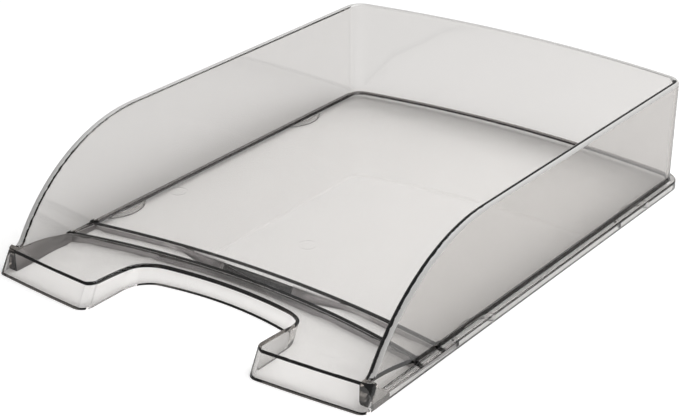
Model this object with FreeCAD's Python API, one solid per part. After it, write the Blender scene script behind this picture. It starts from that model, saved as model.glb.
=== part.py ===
import FreeCAD, Part
import math
import os
from FreeCAD import Vector

# Desk letter tray for A4 paper: one injection moulding in clear smoke polystyrene.
# Millimetres. X is the width, Y runs from the open front to the back wall, Z is up.
# The origin is on the table, under the middle of the tray.
# A distance "from the front" starts at the foremost point of the two front lugs.

# overall
width = 255.0
depth = 357.0
height = 70.0

# sheet
wall = 4.5              # side and back walls
floor_sheet = 2.7       # floor and front ramp
skirt = 2.5             # skirts that stand on the table
rib = 2.0               # ribs under the floor

# foot flange and floor
ledge_height = 4.8      # top of the flange outside the walls
ledge_width = 4.0       # flange edge to the foot of the wall
flange_draft = 0.05     # inward lean of the flange and lug sides per unit of height
floor_height = 5.5      # upper face of the floor
back_corner = 15.5      # outer corner radius of the flange in plan
back_bow = 646.0        # plan radius of the back wall's bow
wall_lean = 0.8         # how far the walls lean out between floor and rim
ledge_round = 0.8
ledge_fillet = 0.6
floor_fillet = 1.5
rim_flat = 0.3          # flat left between the two rounds of the rim

# sweep of the side walls down to the lugs
sweep_radius = 115.5    # curve of the wall's front edge
sweep_start = 116.2     # from the front, where the level rim begins to fall
foot_radius = 8.0       # hollow curve that runs the edge out on the lug
foot_sink = 0.3         # how far that curve ends below the lug's top

# front lugs and ramp
front_bow = 1195.0      # plan radius of the front edge
lip_height = 14.0
lip_setback = 7.4       # how far the front face leans back up to the lip
lip_round = 1.0
lug_corner = 5.5        # outer front corner of each lug in plan
scoop_radius = 12.0     # round end of the ledge behind each lug
scoop_end = 22.4        # from the lug's outer front corner, where the scoop meets the ledge
ramp_start = 87.5       # from the front, foot of the ramp at the middle
ramp_bow = 627.0        # plan radius of the ramp's foot
crest_start = 72.4      # from the front, where the ramp steepens at the middle
crest_bow = 465.0       # plan radius of that line
crest_rise = 1.5        # height gained between the two lines

# finger cut-out
cutout_width = 112.0
cutout_depth = 52.5     # from the front, on the table
cutout_bow = 200.0      # plan radius of its rear edge
cutout_corner = 17.0
mouth_round = 7.0       # lug corners beside the cut-out

# ribs under the floor
rib_lift = 0.3          # ribs stop short of the table
gate_inner = 25.0       # half-width over which the rear rib leans to the front rib
gate_outer = 60.0       # half-width where it stands upright again
pad_length = 25.0       # half-round ribs beside the walls
pad_depth = 3.7
pad_front = 106.5       # from the front, middle of the front pair
pad_rear = 282.0        # from the front, middle of the rear pair

# derived
half_width = width / 2
front = -depth / 2
back = depth / 2
half_cutout = cutout_width / 2
tall = height + 10.0
top = Vector(0, 0, 1)
lean = wall_lean / (height - floor_height)
lip_slope = lip_setback / lip_height


def drop(radius, x):
    """Fall of a bowed edge at a distance x from the middle of the tray."""
    return radius - math.sqrt(radius * radius - x * x)


mouth_x = half_cutout + mouth_round
front_bow_y = front + mouth_round + math.sqrt((front_bow - mouth_round) ** 2 - mouth_x ** 2)


def front_y(x):
    """Front edge on the table, bowed towards the user and tangent to the rounded lug corners."""
    return front_bow_y - front_bow + drop(front_bow, x)


scoop_y = front_y(half_width) + scoop_end


def ramp_y(x):
    """Foot of the ramp, bowed towards the back."""
    return front + ramp_start - drop(ramp_bow, x)


def crest_y(x):
    """Line where the ramp steepens, bowed more than its foot."""
    return front + crest_start - drop(crest_bow, x)


def block(profile, direction):
    """Solid from a closed list of edges moved along a direction."""
    return Part.Face(Part.Wire(Part.__sortEdges__(profile))).extrude(direction)


def polyline(points):
    """Straight edges from point to point."""
    return [Part.LineSegment(a, b).toShape() for a, b in zip(points, points[1:])]


def arc(a, b, c):
    """Circular edge through three points."""
    return Part.Arc(a, b, c).toShape()


def bowed(line, x, z=0.0):
    """Edge that follows a bowed line from -x to x at height z."""
    return arc(Vector(-x, line(x), z), Vector(0, line(0), z), Vector(x, line(x), z))


def wall_x(z, inset):
    """Distance of the leaning wall's face from the flange edge at height z."""
    return inset - lean * (z - floor_height)


def wall_section():
    """Flange, floor edge and wall cut across, as (inset from the flange edge, height)."""
    tilt = math.hypot(1, lean)
    outside = wall_x(ledge_height, ledge_width)
    out_mid = outside - ledge_fillet * tilt + lean * ledge_fillet
    out_high = ledge_height + ledge_fillet * (1 - lean / tilt)
    inside = ledge_width + wall
    in_mid = inside + floor_fillet * tilt - lean * floor_fillet
    in_high = floor_height + floor_fillet * (1 - lean / tilt)
    reach = in_mid + 2.0
    half = math.sqrt(0.5)
    rounded = ledge_height - ledge_round
    drafted = flange_draft * rounded
    edge = drafted + ledge_round

    def at(n, z):
        return Vector(half_width - n, 0, z)

    edges = polyline([at(drafted, rounded), at(0, 0), at(skirt, 0),
                      at(skirt, floor_height - floor_sheet), at(reach, floor_height - floor_sheet),
                      at(reach, floor_height), at(in_mid, floor_height)])
    edges.append(arc(at(in_mid, floor_height),
                     at(in_mid - half * floor_fillet, floor_height + (1 - half) * floor_fillet),
                     at(wall_x(in_high, inside), in_high)))
    edges += polyline([at(wall_x(in_high, inside), in_high), at(wall_x(tall, inside), tall),
                       at(wall_x(tall, ledge_width), tall), at(wall_x(out_high, ledge_width), out_high)])
    edges.append(arc(at(wall_x(out_high, ledge_width), out_high),
                     at(out_mid + half * ledge_fillet, ledge_height + (1 - half) * ledge_fillet),
                     at(out_mid, ledge_height)))
    edges += polyline([at(out_mid, ledge_height), at(edge, ledge_height)])
    edges.append(arc(at(edge, ledge_height),
                     at(edge - half * ledge_round, rounded + half * ledge_round),
                     at(drafted, rounded)))
    return Part.Face(Part.Wire(Part.__sortEdges__(edges))), reach


def plan_corner():
    """Centre of the back bow, centre of the right back corner and the angle the corner turns."""
    bow_y = back - back_bow
    x = half_width - back_corner
    y = bow_y + math.sqrt((back_bow - back_corner) ** 2 - x * x)
    return bow_y, x, y, math.degrees(math.atan2(y - bow_y, x))


def swept_walls():
    """The wall section run along one side, round the corners, across the back and up the other side."""
    section, reach = wall_section()
    bow_y, corner_x, corner_y, turn = plan_corner()
    start = front_y(half_width) + lip_setback + lip_round + foot_sink
    side = section.translated(Vector(0, start, 0)).extrude(Vector(0, corner_y - start, 0))
    at_corner = section.translated(Vector(0, corner_y, 0))
    corner = at_corner.revolve(Vector(corner_x, corner_y, 0), top, turn)
    at_back = at_corner.rotated(Vector(corner_x, corner_y, 0), top, turn)
    across = at_back.revolve(Vector(0, bow_y, 0), top, 180 - 2 * turn)
    ahead = front - 10.0
    lug_room = Part.makeBox(ledge_width, scoop_y - ahead, tall,
                            Vector(half_width - ledge_width + ledge_fillet, ahead, -1.0))
    side = side.cut(lug_room)
    mirror = [s.mirror(Vector(0, 0, 0), Vector(1, 0, 0)) for s in (side, corner)]
    return side.multiFuse([corner, across] + mirror).removeSplitter(), reach


def above_rim():
    """Everything over the rim: the level back part, the falling front curve and its hollow foot."""
    centre = Vector(0, front + sweep_start, height - sweep_radius)
    line = lip_height - foot_sink
    foot_z = line + foot_radius
    gap = sweep_radius + foot_radius
    foot = Vector(0, centre.y - math.sqrt(gap ** 2 - (foot_z - centre.z) ** 2), foot_z)
    towards = (foot - centre).normalize()
    meet = centre + towards * sweep_radius
    crown = Vector(0, centre.y, height)
    middle = centre + ((meet - centre).normalize() + top).normalize() * sweep_radius
    under = Vector(0, foot.y, line)
    dip = foot + ((meet - foot).normalize() - top).normalize() * foot_radius
    ahead = front - 20.0
    behind = back + 20.0
    edges = [arc(crown, middle, meet), arc(meet, dip, under)]
    edges += polyline([under, Vector(0, ahead, line), Vector(0, ahead, tall + 10),
                       Vector(0, behind, tall + 10), Vector(0, behind, height), crown])
    return block(edges, Vector(width + 40, 0, 0)).translated(Vector(-half_width - 20, 0, 0))


def round_rim(walls):
    """Round both long edges of the rim; the short edges across the wall are left."""
    radius = (wall - rim_flat) / 2
    chosen = []
    for face in walls.Faces:
        normal = face.normalAt(*face.Surface.parameter(face.CenterOfMass))
        high = face.BoundBox.ZMax > lip_height and face.BoundBox.ZMin > lip_height - 2 * foot_sink
        if high and abs(normal.x) < 0.05 and (normal.z > 0.1 or normal.y < -0.1):
            chosen += [e for e in face.Edges if e.Length > 1.2 * wall]
    return walls.makeFillet(radius, chosen)


def floor_plate(reach):
    """Flat floor inside the swept section, from under the ramp to the back."""
    bow_y, corner_x, corner_y, turn = plan_corner()
    x = half_width - reach
    small = back_corner - reach
    large = back_bow - reach
    angle = math.radians(turn)
    diagonal = math.radians(turn / 2)
    low = floor_height - floor_sheet
    bend = Vector(corner_x + small * math.cos(angle), corner_y + small * math.sin(angle), low)
    halfway = Vector(corner_x + small * math.cos(diagonal), corner_y + small * math.sin(diagonal), low)
    start = Vector(x, crest_y(x), low)
    end = Vector(x, corner_y, low)

    def left(p):
        return Vector(-p.x, p.y, p.z)

    edges = polyline([start, end]) + polyline([left(end), left(start)])
    edges.append(arc(end, halfway, bend))
    edges.append(arc(bend, Vector(0, bow_y + large, low), left(bend)))
    edges.append(arc(left(bend), left(halfway), left(end)))
    edges.append(bowed(crest_y, x, low))
    return block(edges, Vector(0, 0, floor_sheet))


def ramp_solid(down):
    """Everything under the ramp's upper face lowered by a distance.

    A straight first slope up to the crest line, then a loft that levels out at the lip."""
    reach = half_width + 5.0
    crest_height = floor_height + crest_rise
    lead = rib / 4

    def wire(line, high):
        return Part.Wire(arc(*[Vector(x, line(x), high(x) - down) for x in (-reach, 0, reach)]))

    def between(share):
        return lambda x: crest_y(x) * (1 - share) + (front_y(x) + lip_setback) * share

    def level(share):
        return lambda x: crest_height + (lip_height - crest_height) * (1 - (1 - share) ** 2)

    def foot_level(x):
        return floor_height - lead * crest_rise / (ramp_y(x) - crest_y(x))

    first = [wire(lambda x: ramp_y(x) + lead, foot_level), wire(crest_y, level(0))]
    second = [wire(between(share), level(share)) for share in (0, 1 / 3, 2 / 3, 1)]
    second.append(wire(lambda x: front_y(x) - lip_setback, level(1)))
    pull = Vector(0, 0, -lip_height - 10.0)
    slope = Part.makeLoft(first, False, True).Faces[0].extrude(pull)
    crown = Part.makeLoft(second, False, False).Faces[0].extrude(pull)
    return slope.fuse(crown)


def leaning(z):
    """Direction of the lugs' front faces, which lean back as they rise."""
    return Vector(0, lip_slope * z, z)


def front_block(x, inset, rear):
    """Block across the front, from the leaning front face back to a distance from the front."""
    def line(a):
        return front_y(a) + inset
    edges = [bowed(line, x)]
    edges += polyline([Vector(x, line(x), 0), Vector(x, front + rear, 0),
                       Vector(-x, front + rear, 0), Vector(-x, line(x), 0)])
    return block(edges, leaning(lip_height + 10.0))


def round_corners(shape, radius):
    """Round the two leaning corners between the front face and the sides."""
    def ahead(edge):
        return edge.CenterOfMass.y - abs(edge.CenterOfMass.x)
    upright = [e for e in shape.Edges if e.BoundBox.ZLength > lip_height]
    corners = [min((e for e in upright if e.CenterOfMass.x * side > 0), key=ahead) for side in (-1, 1)]
    return shape.makeFillet(radius, corners)


def beside_lugs():
    """Room outside the walls: over the ledge and the scoops that end it, and all of it further back."""
    high = lip_height + 10.0
    inner = half_width - ledge_width - wall / 2
    centre = Vector(0, scoop_y, ledge_height + scoop_radius)
    half = math.sqrt(0.5) * scoop_radius
    bottom = Vector(0, scoop_y, ledge_height)
    ahead = centre + Vector(0, -scoop_radius, 0)
    edges = [arc(bottom, centre + Vector(0, -half, -half), ahead)]
    edges += polyline([ahead, Vector(0, ahead.y, 3 * high), Vector(0, back, 3 * high),
                       Vector(0, back, -1), Vector(0, scoop_y, -1), bottom])
    one = block(edges, Vector(width, 0, 0)).translated(Vector(inner, 0, 0))
    return one.fuse(one.mirror(Vector(0, 0, 0), Vector(1, 0, 0)))


def front_body(under_top):
    """Lugs and ramp as a solid with the finger cut-out, before it is hollowed from below."""
    high = lip_height + 10.0
    top_x = half_width - flange_draft * high
    ahead = front - 10.0
    outline = polyline([Vector(half_width, ahead, 0), Vector(top_x, ahead, high),
                        Vector(-top_x, ahead, high), Vector(-half_width, ahead, 0),
                        Vector(half_width, ahead, 0)])
    drafted = block(outline, Vector(0, depth, 0))
    body = round_corners(front_block(half_width, 0.0, ramp_start + 20).common(drafted), lug_corner)
    body = body.cut(cutout(0.0)).common(under_top).cut(beside_lugs())
    body = body.removeSplitter()
    inner = half_width - ledge_width - wall
    lip_edges = []
    for edge in body.Edges:
        middle = edge.valueAt((edge.FirstParameter + edge.LastParameter) / 2)
        ahead_of_crest = middle.y < (crest_y(middle.x) + front) / 2 + lip_height
        inside = abs(middle.x) < inner or middle.y < front_y(half_width) + lip_setback + lug_corner / 2
        if edge.BoundBox.ZMin > lip_height / 2 and inside and ahead_of_crest:
            lip_edges.append(edge)
    return body.makeFillet(lip_round, lip_edges)


def cutout(grow):
    """Finger cut-out, grown by a distance, leaning like the lugs' front faces."""
    side = half_cutout + grow
    corner = cutout_corner + grow
    mouth = mouth_round - grow
    bow = cutout_bow + grow
    rear = front + cutout_depth + grow
    bow_y = rear - bow
    corner_x = side - corner
    corner_y = bow_y + math.sqrt((bow - corner) ** 2 - corner_x ** 2)
    turn = math.atan2(corner_y - bow_y, corner_x)
    mouth_y = front + mouth_round
    slant = math.atan2(mouth_x, front_bow_y - mouth_y)
    ahead = front - 30.0

    def half(sign):
        def on(x, y, radius, angle):
            return Vector(sign * (x + radius * math.cos(angle)), y + radius * math.sin(angle), 0)
        last = slant - math.pi / 2
        tip = on(mouth_x, mouth_y, mouth, last)
        edges = polyline([Vector(tip.x, ahead, 0), tip])
        edges.append(arc(tip, on(mouth_x, mouth_y, mouth, (last - math.pi) / 2),
                         on(mouth_x, mouth_y, mouth, -math.pi)))
        edges += polyline([Vector(sign * side, mouth_y, 0), Vector(sign * side, corner_y, 0)])
        bend = on(corner_x, corner_y, corner, turn)
        edges.append(arc(Vector(sign * side, corner_y, 0), on(corner_x, corner_y, corner, turn / 2), bend))
        return edges, bend, tip

    one, bend_one, tip_one = half(1)
    two, bend_two, tip_two = half(-1)
    edges = one + two + [arc(bend_one, Vector(0, rear, 0), bend_two)]
    edges += polyline([Vector(tip_one.x, ahead, 0), Vector(tip_two.x, ahead, 0)])
    return block(edges, leaning(lip_height + 10.0))


def cross_rib(line, top_z):
    """Upright rib that follows a bowed line right across under the floor."""
    x = half_width - ledge_width - wall
    near = line(x) - rib / 2
    edges = [bowed(lambda a: line(a) - rib / 2, x, rib_lift), bowed(lambda a: line(a) + rib / 2, x, rib_lift)]
    for side in (-x, x):
        edges += polyline([Vector(side, near, rib_lift), Vector(side, near + rib, rib_lift)])
    return block(edges, Vector(0, 0, top_z - rib_lift))


def rear_rib():
    """Rib under the ramp's foot; its lower edge swings forward to the front rib in the middle."""
    x_end = half_width - ledge_width - wall
    high = floor_height - floor_sheet / 2

    def low_y(x):
        share = min(max((abs(x) - gate_inner) / (gate_outer - gate_inner), 0.0), 1.0)
        ease = share * share * (3 - 2 * share)
        return ramp_y(x) * ease + (crest_y(x) + rib) * (1 - ease)

    def curve(line, z):
        steps = 12
        points = [Vector(x_end * (2 * i / steps - 1), 0, z) for i in range(steps + 1)]
        spline = Part.BSplineCurve()
        spline.interpolate([Vector(p.x, line(p.x) - rib / 2, z) for p in points])
        return spline.toShape()

    sheet = Part.makeRuledSurface(curve(ramp_y, high), curve(low_y, 0.0))
    under = Part.makeBox(width, depth, rib_lift + 1.0, Vector(-half_width, front, -1.0))
    return sheet.extrude(Vector(0, rib, 0)).cut(under)


def pad_ribs():
    """Half-round ribs that bow in from the skirt past the foot of the side walls, two on each side."""
    radius = (pad_length ** 2 / 4 + pad_depth ** 2) / (2 * pad_depth)
    inner = half_width - ledge_width - wall
    outer = half_width - skirt / 2
    tall_rib = floor_height - floor_sheet / 2 - rib_lift
    ribs = []
    for side in (-1, 1):
        for y in (front + pad_front, front + pad_rear):
            centre = Vector(side * (inner - pad_depth + radius), y, rib_lift)
            ring = Part.makeCylinder(radius, tall_rib, centre).cut(
                Part.makeCylinder(radius - rib, tall_rib, centre))
            keep = Part.makeBox(outer, 2 * radius, tall_rib,
                                Vector(0 if side > 0 else -outer, y - radius, rib_lift))
            ribs.append(ring.common(keep))
    return ribs


def tray():
    """The whole moulding."""
    walls, reach = swept_walls()
    walls = round_rim(walls.cut(above_rim()))
    under_top = ramp_solid(0.0)
    under_sheet = ramp_solid(floor_sheet)
    inner = half_width - ledge_width - wall
    body = walls.multiFuse([floor_plate(reach), front_body(under_top)])
    thick = skirt * math.hypot(1, lip_slope)
    hollow = front_block(inner, thick, ramp_start + 20).common(under_sheet).cut(cutout(skirt))
    pocket = front_block(half_width - skirt, thick, scoop_y - scoop_radius - front)
    pocket = round_corners(pocket, lug_corner - skirt).common(under_sheet)
    ahead = front - 10.0
    pocket_length = scoop_y - scoop_radius - skirt - ahead
    room = Part.makeBox(width, pocket_length, tall, Vector(-half_width, ahead, -10))
    body = body.cut(hollow).cut(pocket.common(room).cut(cutout(skirt)))
    ribs = [cross_rib(crest_y, floor_height), rear_rib()] + pad_ribs()
    return body.multiFuse(ribs).removeSplitter()


os.makedirs("parts", exist_ok=True)
letter_tray = tray()
print("solids", len(letter_tray.Solids), "faces", len(letter_tray.Faces))
print("volume cm3", round(letter_tray.Volume / 1000, 1), "valid", letter_tray.isValid())
letter_tray.exportStep("parts/letter_tray.step")
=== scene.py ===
# %% [markdown]
# # A clear smoke-grey letter tray
# The tray is one injection moulding, so the CAD model already holds every form of it: floor, ramp,
# lugs, walls, flange and ribs. Blender's share is the look. Clear plastic shows its back through its
# front, so most of the work lies in clean normals, a true refraction and a calm white surrounding.

# %% Load the frame
import math
import bmesh
import bpy
import numpy as np
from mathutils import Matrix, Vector


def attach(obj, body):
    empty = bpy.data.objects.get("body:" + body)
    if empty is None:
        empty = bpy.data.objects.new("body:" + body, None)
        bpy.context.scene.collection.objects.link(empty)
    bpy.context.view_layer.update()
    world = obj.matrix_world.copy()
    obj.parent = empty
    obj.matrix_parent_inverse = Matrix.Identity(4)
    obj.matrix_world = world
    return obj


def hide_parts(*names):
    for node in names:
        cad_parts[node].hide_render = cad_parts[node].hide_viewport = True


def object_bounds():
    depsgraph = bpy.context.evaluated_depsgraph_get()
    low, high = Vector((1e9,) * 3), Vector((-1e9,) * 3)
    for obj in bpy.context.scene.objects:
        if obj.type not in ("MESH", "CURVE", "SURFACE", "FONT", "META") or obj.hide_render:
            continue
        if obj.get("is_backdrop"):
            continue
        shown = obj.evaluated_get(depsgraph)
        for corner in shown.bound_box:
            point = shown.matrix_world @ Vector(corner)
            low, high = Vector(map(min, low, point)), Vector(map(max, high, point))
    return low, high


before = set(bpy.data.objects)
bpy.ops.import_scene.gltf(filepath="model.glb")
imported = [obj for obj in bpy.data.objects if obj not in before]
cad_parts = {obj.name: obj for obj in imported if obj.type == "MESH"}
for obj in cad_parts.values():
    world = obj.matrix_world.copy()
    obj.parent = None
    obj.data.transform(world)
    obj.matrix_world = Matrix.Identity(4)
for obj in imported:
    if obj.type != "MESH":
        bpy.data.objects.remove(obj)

MM = 0.001
scene = bpy.context.scene
cad_low, cad_high = ([float(v) for v in corner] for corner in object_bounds())
print("CAD box, mm:", [round((high - low) / MM, 1) for low, high in zip(cad_low, cad_high)])

# %% [markdown]
# ## One moulding from loose triangles
# The CAD mesh arrives as loose triangles, each with corners of its own, so light would show every
# facet. Clear plastic is less forgiving than paint: each facet bends the rays a little differently.
# Shade Smooth could hide the facets only after the corners are shared. So a merged copy stands in
# for the CAD mesh, and the CAD mesh itself stays as it is.


# %% Merge the corners
def merged_mesh(source, name, distance):
    """A copy of a mesh in which corners closer than a distance are one."""
    mesh = source.copy()
    mesh.name = name
    work = bmesh.new()
    work.from_mesh(mesh)
    bmesh.ops.remove_doubles(work, verts=work.verts, dist=distance)
    work.to_mesh(mesh)
    work.free()
    return mesh


# far smaller than any form of the tray, so only loose corners are joined and a few slivers vanish
merge_distance = 0.002 * MM
tray_mesh = merged_mesh(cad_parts["letter_tray"].data, "tray", merge_distance)
print("tray:", len(tray_mesh.vertices), "corners,", len(tray_mesh.polygons), "triangles")

# %% [markdown]
# ## Normals that know where the flats are
# Blender's own smooth shading averages the faces around a corner, and a long thin triangle of a
# round then tips the wide flat face beside it. Here each face counts by its angle at the corner and
# by the area of the flat patch it belongs to, so a wall stays flat up to the round that borders it.
# A patch is a group of neighbours, and so is the fan of faces around a corner. One function finds
# both.


# %% Measure the triangles
def triangles(mesh):
    """The vertex numbers, corner places, unit normals and areas of a mesh of triangles."""
    count = len(mesh.polygons)
    place = np.empty(3 * len(mesh.vertices))
    mesh.vertices.foreach_get("co", place)
    corner = np.empty(3 * count, dtype=int)
    mesh.loops.foreach_get("vertex_index", corner)
    points = place.reshape(-1, 3)[corner].reshape(count, 3, 3)
    across = np.cross(points[:, 1] - points[:, 0], points[:, 2] - points[:, 0])
    area = np.linalg.norm(across, axis=1) / 2
    return corner, points, across / np.maximum(2 * area, 1e-18)[:, None], area


corner, points, normal, area = triangles(tray_mesh)
print("surface, cm2:", round(area.sum() * 1e4, 1))


# %% Work out the corner normals
def joined(count, first, second):
    """Group numbers for things that are linked in pairs: each takes the lowest number it can reach."""
    group = np.arange(count)
    while True:
        low = np.minimum(group[first], group[second])
        new = group.copy()
        np.minimum.at(new, first, low)
        np.minimum.at(new, second, low)
        if np.array_equal(new, group):
            return group
        group = new


def smooth_normals(corner, points, normal, area, sharp_degrees, flat_degrees):
    """A normal for each corner of each triangle.

    Corners that meet over edges that aren't sharp form a fan. The fan's normal is the sum of its
    faces' normals, each times the angle at the corner and the area of the face's flat patch."""
    count = len(area)
    ahead = np.roll(points, -1, axis=1) - points
    behind = np.roll(points, 1, axis=1) - points
    angle = np.arctan2(np.linalg.norm(np.cross(ahead, behind), axis=2), (ahead * behind).sum(axis=2))

    # a half-edge starts at each corner; the two that share both ends are one edge
    end = np.roll(corner.reshape(count, 3), -1, axis=1).ravel()
    key = np.minimum(corner, end) * (corner.max() + 1) + np.maximum(corner, end)
    order = np.argsort(key, kind="stable")
    pair = np.flatnonzero(key[order][1:] == key[order][:-1])
    one, two = order[pair], order[pair + 1]
    turn = np.degrees(np.arccos(np.clip((normal[one // 3] * normal[two // 3]).sum(axis=1), -1, 1)))

    flat = turn < flat_degrees
    patch = joined(count, one[flat] // 3, two[flat] // 3)
    patch_area = np.bincount(patch, area, count)[patch]

    def next_corner(half):
        return 3 * (half // 3) + (half + 1) % 3

    soft = turn < sharp_degrees
    first = np.concatenate([one[soft], next_corner(one[soft])])
    second = np.concatenate([next_corner(two[soft]), two[soft]])
    fan = joined(3 * count, first, second)
    parts = np.repeat(normal, 3, axis=0) * (angle * patch_area[:, None]).reshape(-1, 1)
    total = np.stack([np.bincount(fan, parts[:, axis], 3 * count) for axis in range(3)], axis=1)[fan]
    return total / np.linalg.norm(total, axis=1)[:, None]


tray_mesh.polygons.foreach_set("use_smooth", np.ones(len(area), dtype=bool))
corner_normal = smooth_normals(corner, points, normal, area, sharp_degrees=28, flat_degrees=0.2)
tray_mesh.normals_split_custom_set(corner_normal)
print("corner normals set:", len(corner_normal))

# %% [markdown]
# ## Put the copy in the tray's place
# The copy rides on the same body as the CAD node and replaces it in the picture. It stays at the
# origin, unscaled, in metres.

# %% Place the tray
tray = bpy.data.objects.new("tray", tray_mesh)
scene.collection.objects.link(tray)
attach(tray, "root")
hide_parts("letter_tray")
print("placed:", tray.name)

# %% [markdown]
# ## Which faces are polished, which are matt and which get painted shade
# A mould for clear plastic is polished like a mirror, but seldom everywhere. Slots for ribs are often
# cut by spark erosion and stay matt, and in the photo the ribs are dark bands under the ramp; here
# their darkness is painted shade, and so is the dark end wall of the left hollow. The rim shows a pale
# band beside a black line, here a matt and a polished zone, and the dark inner round at the foot of
# the walls is painted shade. All three zones follow from the place and the tilt of the faces, so
# they are worked out here once and kept as attributes of the mesh. Many Math nodes could do the same,
# but numbers in a list are easier to check.
#
# The rim's zone is kept for each corner and not for each face. The shader can then draw the border
# between matt and polished anywhere inside a triangle, and the black line runs smoothly.


# %% Find the matt rim band
def rim_depth(y, z):
    """Distance in mm below the wall's upper edge: level at the back, a falling circle at the front."""
    sweep_radius, sweep_start = 115.5, 116.2
    sweep_y = cad_low[1] / MM + sweep_start
    sweep_z = cad_high[2] / MM - sweep_radius
    return sweep_radius - np.hypot(np.minimum(y - sweep_y, 0), z - sweep_z)


# the middle of each face, in mm
x, y, z = (points.mean(axis=1) / MM).T
back_wall, rim_reach, lug_top = 158, 2.0, 14.5
side = np.sign(x)
at_back = y > back_wall
on_rim = (np.abs(rim_depth(y, z)) < rim_reach) & (z > lug_top)
lean = corner_normal.reshape(-1, 3, 3)
outward = np.where(at_back[:, None], lean[:, :, 1], lean[:, :, 0] * side[:, None])
# the photo shows the band wide on the left and back rim, and narrow on the right one
wide_start, narrow_start = -0.6, 0.25
band_start = np.where(at_back | (side < 0), wide_start, narrow_start)
rim_band = np.where(on_rim[:, None], outward - band_start[:, None], -1.0)
print("rim faces:", np.count_nonzero(on_rim))

# %% Find the matt ribs and the left hollow's end, which also get painted shade
# each rib follows an arc in plan: the arc's centre on y and its radius, in mm
front_rib, rear_rib = (-571.1, 465.0), (-718.0, 627.0)
rib_margin, sheet_underside = 1.3, 4.2
behind_front_rib = np.hypot(x, y - front_rib[0]) > front_rib[1] - rib_margin
before_rear_rib = np.hypot(x, y - rear_rib[0]) < rear_rib[1] + rib_margin
rib_faces = behind_front_rib & before_rear_rib & (z < sheet_underside)

# the end wall of the left hollow, which the photo shows from inside, reaches up to the ramp's
# underside, and that falls about as a parabola; it is made matt and darkened with painted shade
hollow_left, ramp_foot = -118.4, -112
lid_height, lid_drop, lid_front, lid_length = 11.6, 7.0, -165.0, 43.4
lid = lid_height - lid_drop * np.clip((y - lid_front) / lid_length, 0, 1) ** 2
hollow_end = (x < hollow_left) & (normal[:, 0] > 0.5) & (y < ramp_foot) & (z < lid)
upright = np.abs(normal[:, 2]) < 0.95
# both zones are made matt and also get painted shade
eroded_and_shaded = (rib_faces | hollow_end) & upright
print("matt ribs and hollow end, cm2:", round(area[eroded_and_shaded].sum() * 1e4, 2))

# %% Find the inner round at the foot of the walls, which gets painted shade
floor_top, round_top, inner_side, inner_back = 5.5, 7.1, 119.3, 171
side_strip, back_strip = 116, 150
tilted = (normal[:, 2] > 0.1) & (normal[:, 2] < 0.99)
on_round = tilted & (z > floor_top) & (z < round_top)
inside = (np.abs(x) < inner_side) & (y > ramp_foot) & (y < inner_back)
wall_foot_shade = on_round & inside & ((np.abs(x) > side_strip) | (y > back_strip))
print("round at the wall's foot, cm2:", round(area[wall_foot_shade].sum() * 1e4, 2))

# %% Keep them as attributes
for name, domain, values in (("rim_band", "CORNER", rim_band), ("eroded_and_shaded", "FACE", eroded_and_shaded),
                             ("wall_foot_shade", "FACE", wall_foot_shade)):
    layer = tray_mesh.attributes.new(name, "FLOAT", domain)
    layer.data.foreach_set("value", values.ravel().astype(np.float32))
    print(name, "values over zero:", np.count_nonzero(values > 0))

# %% [markdown]
# ## Colours and nodes
# Colours are written as sRGB hex, the way a paint program shows them, and turned to linear numbers
# for the shader. One helper adds any node: settings go in a dictionary, inputs by name, and another
# node or one of its outputs can be given as an input.


# %% Helpers for colours and nodes
def linear(hex_colour):
    """Linear red, green, blue and one from an sRGB hex colour."""
    parts = [int(hex_colour[i:i + 2], 16) / 255 for i in (1, 3, 5)]
    return (*[p / 12.92 if p <= 0.04045 else ((p + 0.055) / 1.055) ** 2.4 for p in parts], 1.0)


def add(tree, kind, settings=None, **inputs):
    """Add a node, set its properties and fill or link its inputs.

    An input is named by its label, with an underscore for a space, or by its number after an i."""
    made = tree.nodes.new("ShaderNode" + kind)
    for name, value in (settings or {}).items():
        setattr(made, name, value)
    for name, value in inputs.items():
        numbered = name[0] == "i" and name[1:].isdigit()
        socket = made.inputs[int(name[1:]) if numbered else name.replace("_", " ")]
        if isinstance(value, bpy.types.Node):
            value = value.outputs[0]
        if isinstance(value, bpy.types.NodeSocket):
            tree.links.new(value, socket)
        else:
            socket.default_value = value
    return made


def empty_material(name):
    """A node material without nodes, and its tree."""
    material = bpy.data.materials.new(name)
    material.use_nodes = True
    material.node_tree.nodes.clear()
    return material, material.node_tree


print("mid grey #808080 is", round(linear("#808080")[0], 3), "in linear light")

# %% [markdown]
# ## Polish and ejector marks
# Polished plastic isn't quite even: handling leaves faint haze, so the roughness wanders a little
# over some centimetres. Under the floor, the round ejector pins that push the tray out of the mould
# left shallow rings. They are about a twentieth of a millimetre deep, too fine for the mesh, so a bump
# draws them. Heights are stretched tenfold before distances are taken, so that a ring stays on the
# underside.

# %% Polish and marks
plastic, tree = empty_material("injection-moulded smoke polystyrene")
place = add(tree, "TexCoord").outputs["Object"]
haze_size, ring_radius, ring_width, ring_depth = 17 * MM, 5.5 * MM, 1.2 * MM, 0.05 * MM
best_polish, worst_polish = 0.01, 0.04
haze = add(tree, "TexNoise", Vector=place, Scale=1 / haze_size, Detail=3.0)
polish = add(tree, "MapRange", Value=haze, From_Min=0.3, From_Max=0.7,
             To_Min=best_polish, To_Max=worst_polish)

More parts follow.
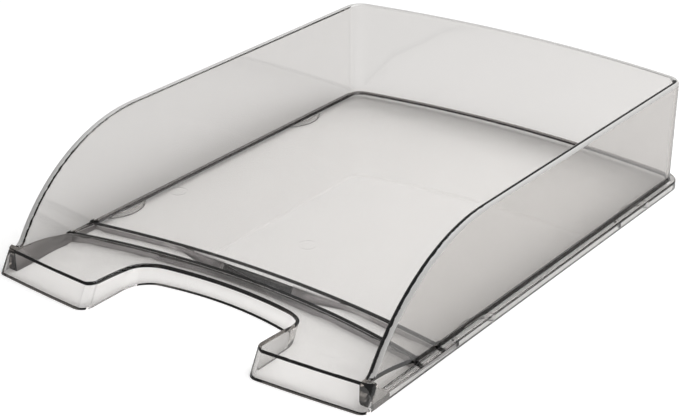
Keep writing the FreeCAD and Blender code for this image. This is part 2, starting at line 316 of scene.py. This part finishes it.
underside, stretch = 2.8 * MM, 10
stretched = add(tree, "VectorMath", {"operation": "MULTIPLY"}, i0=place, i1=(1, 1, stretch))
rings = 0.0
for mark_x, mark_y in ((-110.8, -38.5), (-2.4, -49.5), (113.9, -35.5)):
    centre = (mark_x * MM, mark_y * MM, stretch * underside)
    away = add(tree, "VectorMath", {"operation": "DISTANCE"}, i0=stretched, i1=centre).outputs["Value"]
    off = add(tree, "Math", {"operation": "SUBTRACT"}, i0=away, i1=ring_radius)
    near = add(tree, "Math", {"operation": "ABSOLUTE"}, i0=off)
    ring = add(tree, "MapRange", Value=near, From_Min=0.0, From_Max=ring_width, To_Min=1.0, To_Max=0.0)
    rings = add(tree, "Math", {"operation": "ADD"}, i0=rings, i1=ring)
marks = add(tree, "Bump", Strength=1.0, Distance=ring_depth, Height=rings)
print("ejector rings, mm across:", round(2 * ring_radius / MM, 1))

# %% [markdown]
# ## Painted shade along the ribs
# Where a rib meets the sheet, the eye looks down its whole height, and the photo shows a black line
# along each rib. Refraction alone left these lines too pale, so they are painted on as shade. Both
# ribs follow an arc in plan, and a point lies on the line if its distance from the arc's centre is the
# arc's radius.

# %% Paint the shade lines over the ribs
line_core, line_fade = 1.5 * MM, 2.3 * MM
sheet_top, sheet_reach = 5.8 * MM, 2.0 * MM
flat = add(tree, "VectorMath", {"operation": "MULTIPLY"}, i0=place, i1=(1, 1, 0))
lines = 0.0
for centre_y, radius in (front_rib, rear_rib):
    centre = (0, centre_y * MM, 0)
    away = add(tree, "VectorMath", {"operation": "DISTANCE"}, i0=flat, i1=centre).outputs["Value"]
    off = add(tree, "Math", {"operation": "SUBTRACT"}, i0=away, i1=radius * MM)
    near = add(tree, "Math", {"operation": "ABSOLUTE"}, i0=off)
    line = add(tree, "MapRange", Value=near, From_Min=line_core, From_Max=line_fade, To_Min=1.0, To_Max=0.0)
    lines = add(tree, "Math", {"operation": "MAXIMUM"}, i0=lines, i1=line)
up = add(tree, "SeparateXYZ", Vector=place).outputs["Z"]
on_top = add(tree, "Math", {"operation": "COMPARE"}, i0=up, i1=sheet_top, i2=sheet_reach)
lines = add(tree, "Math", {"operation": "MULTIPLY"}, i0=lines, i1=on_top)
print("rib lines, mm wide:", round((line_core + line_fade) / MM, 1))

# %% [markdown]
# ## Smoke polystyrene
# Polystyrene bends light more than water and a little more than window glass: its index is 1.59. The
# grey isn't on the surface but in the depth, so a volume takes light away along each ray's path. Thin
# walls stay pale, while rays that run on inside a rim or a rib come out black.
#
# First the finish of the zones is set. The matt rim scatters light and looks pale, and the matt ribs
# look soft. Painted shade darkens the ribs, the left hollow's end and the round at the foot of the
# walls, and paints the lines along the ribs almost black.

# %% Set the finish and the painted shade of the zones
rim_roughness, rim_clearness, rib_roughness, border = 0.55, 0.4, 0.35, 0.05
band_edge = add(tree, "Attribute", {"attribute_name": "rim_band"}).outputs["Fac"]
band = add(tree, "MapRange", Value=band_edge, From_Min=-border, From_Max=border).outputs["Result"]
# the matt ribs and the left hollow's end also get their painted shade through this attribute
matt = add(tree, "Attribute", {"attribute_name": "eroded_and_shaded"}).outputs["Fac"]
foot = add(tree, "Attribute", {"attribute_name": "wall_foot_shade"}).outputs["Fac"]
rough_band = add(tree, "Math", {"operation": "MULTIPLY"}, i0=band, i1=rim_roughness)
rough_ribs = add(tree, "Math", {"operation": "MULTIPLY"}, i0=matt, i1=rib_roughness)
rough = add(tree, "Math", {"operation": "MAXIMUM"}, i0=rough_band, i1=rough_ribs)
rough = add(tree, "Math", {"operation": "MAXIMUM"}, i0=rough, i1=polish)
clearness = add(tree, "MapRange", Value=band, To_Min=1.0, To_Max=rim_clearness)
# bare plastic passes every colour, the rim band a little less; painted shade darkens the matt zone, the
# foot and the lines
tint = add(tree, "Mix", {"data_type": "RGBA"}, i0=matt, i6=linear("#ffffff"), i7=linear("#aaa6a8"))
tint = add(tree, "Mix", {"data_type": "RGBA"}, i0=band, i6=tint.outputs[2], i7=linear("#f6f5f3"))
# painted shade along the inner round at the foot of the walls
tint = add(tree, "Mix", {"data_type": "RGBA"}, i0=foot, i6=tint.outputs[2], i7=linear("#5a5658"))
# painted shade: near-black lines along the ribs
tint = add(tree, "Mix", {"data_type": "RGBA"}, i0=lines, i6=tint.outputs[2], i7=linear("#060606"))
# the lines' painted shade also dims their reflection of the room, or its gleam would turn them grey
shaded_gleam = add(tree, "Mix", {"data_type": "RGBA"}, i0=lines, i6=linear("#ffffff"), i7=linear("#505050"))
print("roughness of rim and ribs:", rim_roughness, rib_roughness)

# %% [markdown]
# Then the shader is put together. A ray that only asks whether a lamp is in sight can't bend, so for
# shadow rays each face lets through about what the Fresnel law leaves: nearly all straight on, little
# at a glancing angle. The whole loss made the floor darker than in the photo, so 0.8 of it is taken.

# %% Mix the plastic
polystyrene_ior, shadow_share = 1.59, 0.8
smoke_colour, smoke_density, wall = linear("#c3beb9"), 135.0, 4.5 * MM
clear = add(tree, "BsdfPrincipled", IOR=polystyrene_ior, Base_Color=tint.outputs[2], Roughness=rough,
            Transmission_Weight=clearness, Specular_Tint=shaded_gleam.outputs[2], Normal=marks)
fresnel = add(tree, "Fresnel", IOR=polystyrene_ior)
turned_back = add(tree, "Math", {"operation": "MULTIPLY"}, i0=fresnel, i1=shadow_share)
passed = add(tree, "Math", {"operation": "SUBTRACT"}, i0=1.0, i1=turned_back)
shade = add(tree, "BsdfTransparent", Color=passed)
rays = add(tree, "LightPath")
surface = add(tree, "MixShader", i0=rays.outputs["Is Shadow Ray"], i1=clear, i2=shade)
smoke = add(tree, "VolumeAbsorption", Color=smoke_colour, Density=smoke_density)
add(tree, "OutputMaterial", Surface=surface, Volume=smoke)
tray_mesh.materials.clear()
tray_mesh.materials.append(plastic)
left_over = math.exp(-smoke_density * (1 - smoke_colour[1]) * wall)
print("share of green light left after one wall:", round(left_over, 2))

# %% [markdown]
# ## White studio paper
# The photo has a plain white ground. A wide sheet of matt paper lies just under the tray, so that the
# two never share a plane, and takes the tray's soft shadow. A small glow that only the camera,
# reflections and refractions see lifts it to white without putting more light on the tray.

# %% Lay the paper
reach, paper_gap = 6.0, 0.2 * MM
floor_mesh = bpy.data.meshes.new("studio_floor")
sheet = [(-reach, -reach, 0), (reach, -reach, 0), (reach, reach, 0), (-reach, reach, 0)]
floor_mesh.from_pydata(sheet, [], [(0, 1, 2, 3)])
floor = bpy.data.objects.new("studio_floor", floor_mesh)
floor.location.z = -paper_gap
scene.collection.objects.link(floor)
floor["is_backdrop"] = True
print("paper, m across:", 2 * reach)

# %% Mix the paper's white
# fibres cloud real paper faintly, so two whites that lie close together are mixed
paper, tree = empty_material("matt white studio paper")
fibre_size = 1.5 * MM
near_tray, far_off = 0.6, 2.4
near_glow, far_glow, mirror_glow = 0.3, 0.75, 0.05
place = add(tree, "TexCoord").outputs["Object"]
fibres = add(tree, "TexNoise", Vector=place, Scale=1 / fibre_size)
white = add(tree, "Mix", {"data_type": "RGBA"}, i0=fibres, i6=linear("#f1f1f1"), i7=linear("#f5f5f5"))
matt_white = add(tree, "BsdfDiffuse", Color=white.outputs[2])
rays = add(tree, "LightPath")
# far from the lamp the paper would turn grey, so the camera's share grows away from the tray
away = add(tree, "VectorMath", {"operation": "LENGTH"}, i0=place).outputs["Value"]
share = add(tree, "MapRange", Value=away, From_Min=near_tray, From_Max=far_off,
            To_Min=near_glow, To_Max=far_glow)
plain = add(tree, "Math", {"operation": "MULTIPLY"}, i0=rays.outputs["Is Camera Ray"], i1=share)
through = add(tree, "Math", {"operation": "ADD"}, i0=rays.outputs["Is Glossy Ray"],
              i1=rays.outputs["Is Transmission Ray"])
through = add(tree, "Math", {"operation": "MULTIPLY"}, i0=through, i1=mirror_glow)
lift = add(tree, "Math", {"operation": "ADD"}, i0=plain, i1=through)
glow = add(tree, "Emission", Color=linear("#ffffff"), Strength=lift)
add(tree, "OutputMaterial", Surface=add(tree, "AddShader", i0=matt_white, i1=glow))
floor_mesh.materials.append(paper)
print("paper glow for the camera, near and far:", near_glow, far_glow)

# %% [markdown]
# ## Soft light
# A big soft lamp hangs behind the tray to the right, because from there the tones of the walls came
# nearest to the photo's, and a grey-white room around it fills the rest. The darker room is what draws
# the black lines along the rounds: they bend the view up and away from the bright paper.

# %% Light the scene
room_strength = 0.3
world = bpy.data.worlds.new("studio")
scene.world = world
world.use_nodes = True
room = world.node_tree.nodes["Background"]
room.inputs["Color"].default_value = linear("#ffffff")
room.inputs["Strength"].default_value = room_strength


def soft_lamp(name, size, power, place, aim):
    """A square area lamp with sides of a size in m and a power in W, turned to a point."""
    data = bpy.data.lights.new(name, "AREA")
    data.shape = "SQUARE"
    data.size = size
    data.energy = power
    lamp = bpy.data.objects.new(name, data)
    lamp.location = place
    lamp.rotation_euler = (Vector(aim) - Vector(place)).to_track_quat("-Z", "Y").to_euler()
    scene.collection.objects.link(lamp)
    return lamp


overhead = soft_lamp("overhead", size=1.4, power=20.0, place=(0.4, 0.45, 1.25), aim=(0.05, 0.05, 0))
print("lamp, W per m2:", round(overhead.data.energy / overhead.data.size ** 2, 1))

# %% [markdown]
# ## Camera
# The photo looks down by about 25 degrees from the front right. The camera was fitted to edges that
# are straight on the tray: the feet of the walls, the rim and the flange. The photo's upright edges
# are parallel, which a camera that looks down can't give without lens shift. It has no shift here,
# so that the tray also sits in the middle when it is seen from other sides.

# %% Set up the camera
look_down, turn, focal_length = 25.391, 36.554, 92.51
eye = bpy.data.cameras.new("photo_camera")
eye.sensor_fit = "HORIZONTAL"
eye.sensor_width = 36.0
eye.lens = focal_length
camera = bpy.data.objects.new("photo_camera", eye)
camera.location = (0.54784, -0.76051, 0.45441)
camera.rotation_euler = (math.radians(90 - look_down), 0, math.radians(turn))
scene.collection.objects.link(camera)
scene.camera = camera
scene.view_settings.view_transform = "Standard"
print("camera to tray, m:", round(camera.location.length, 2))
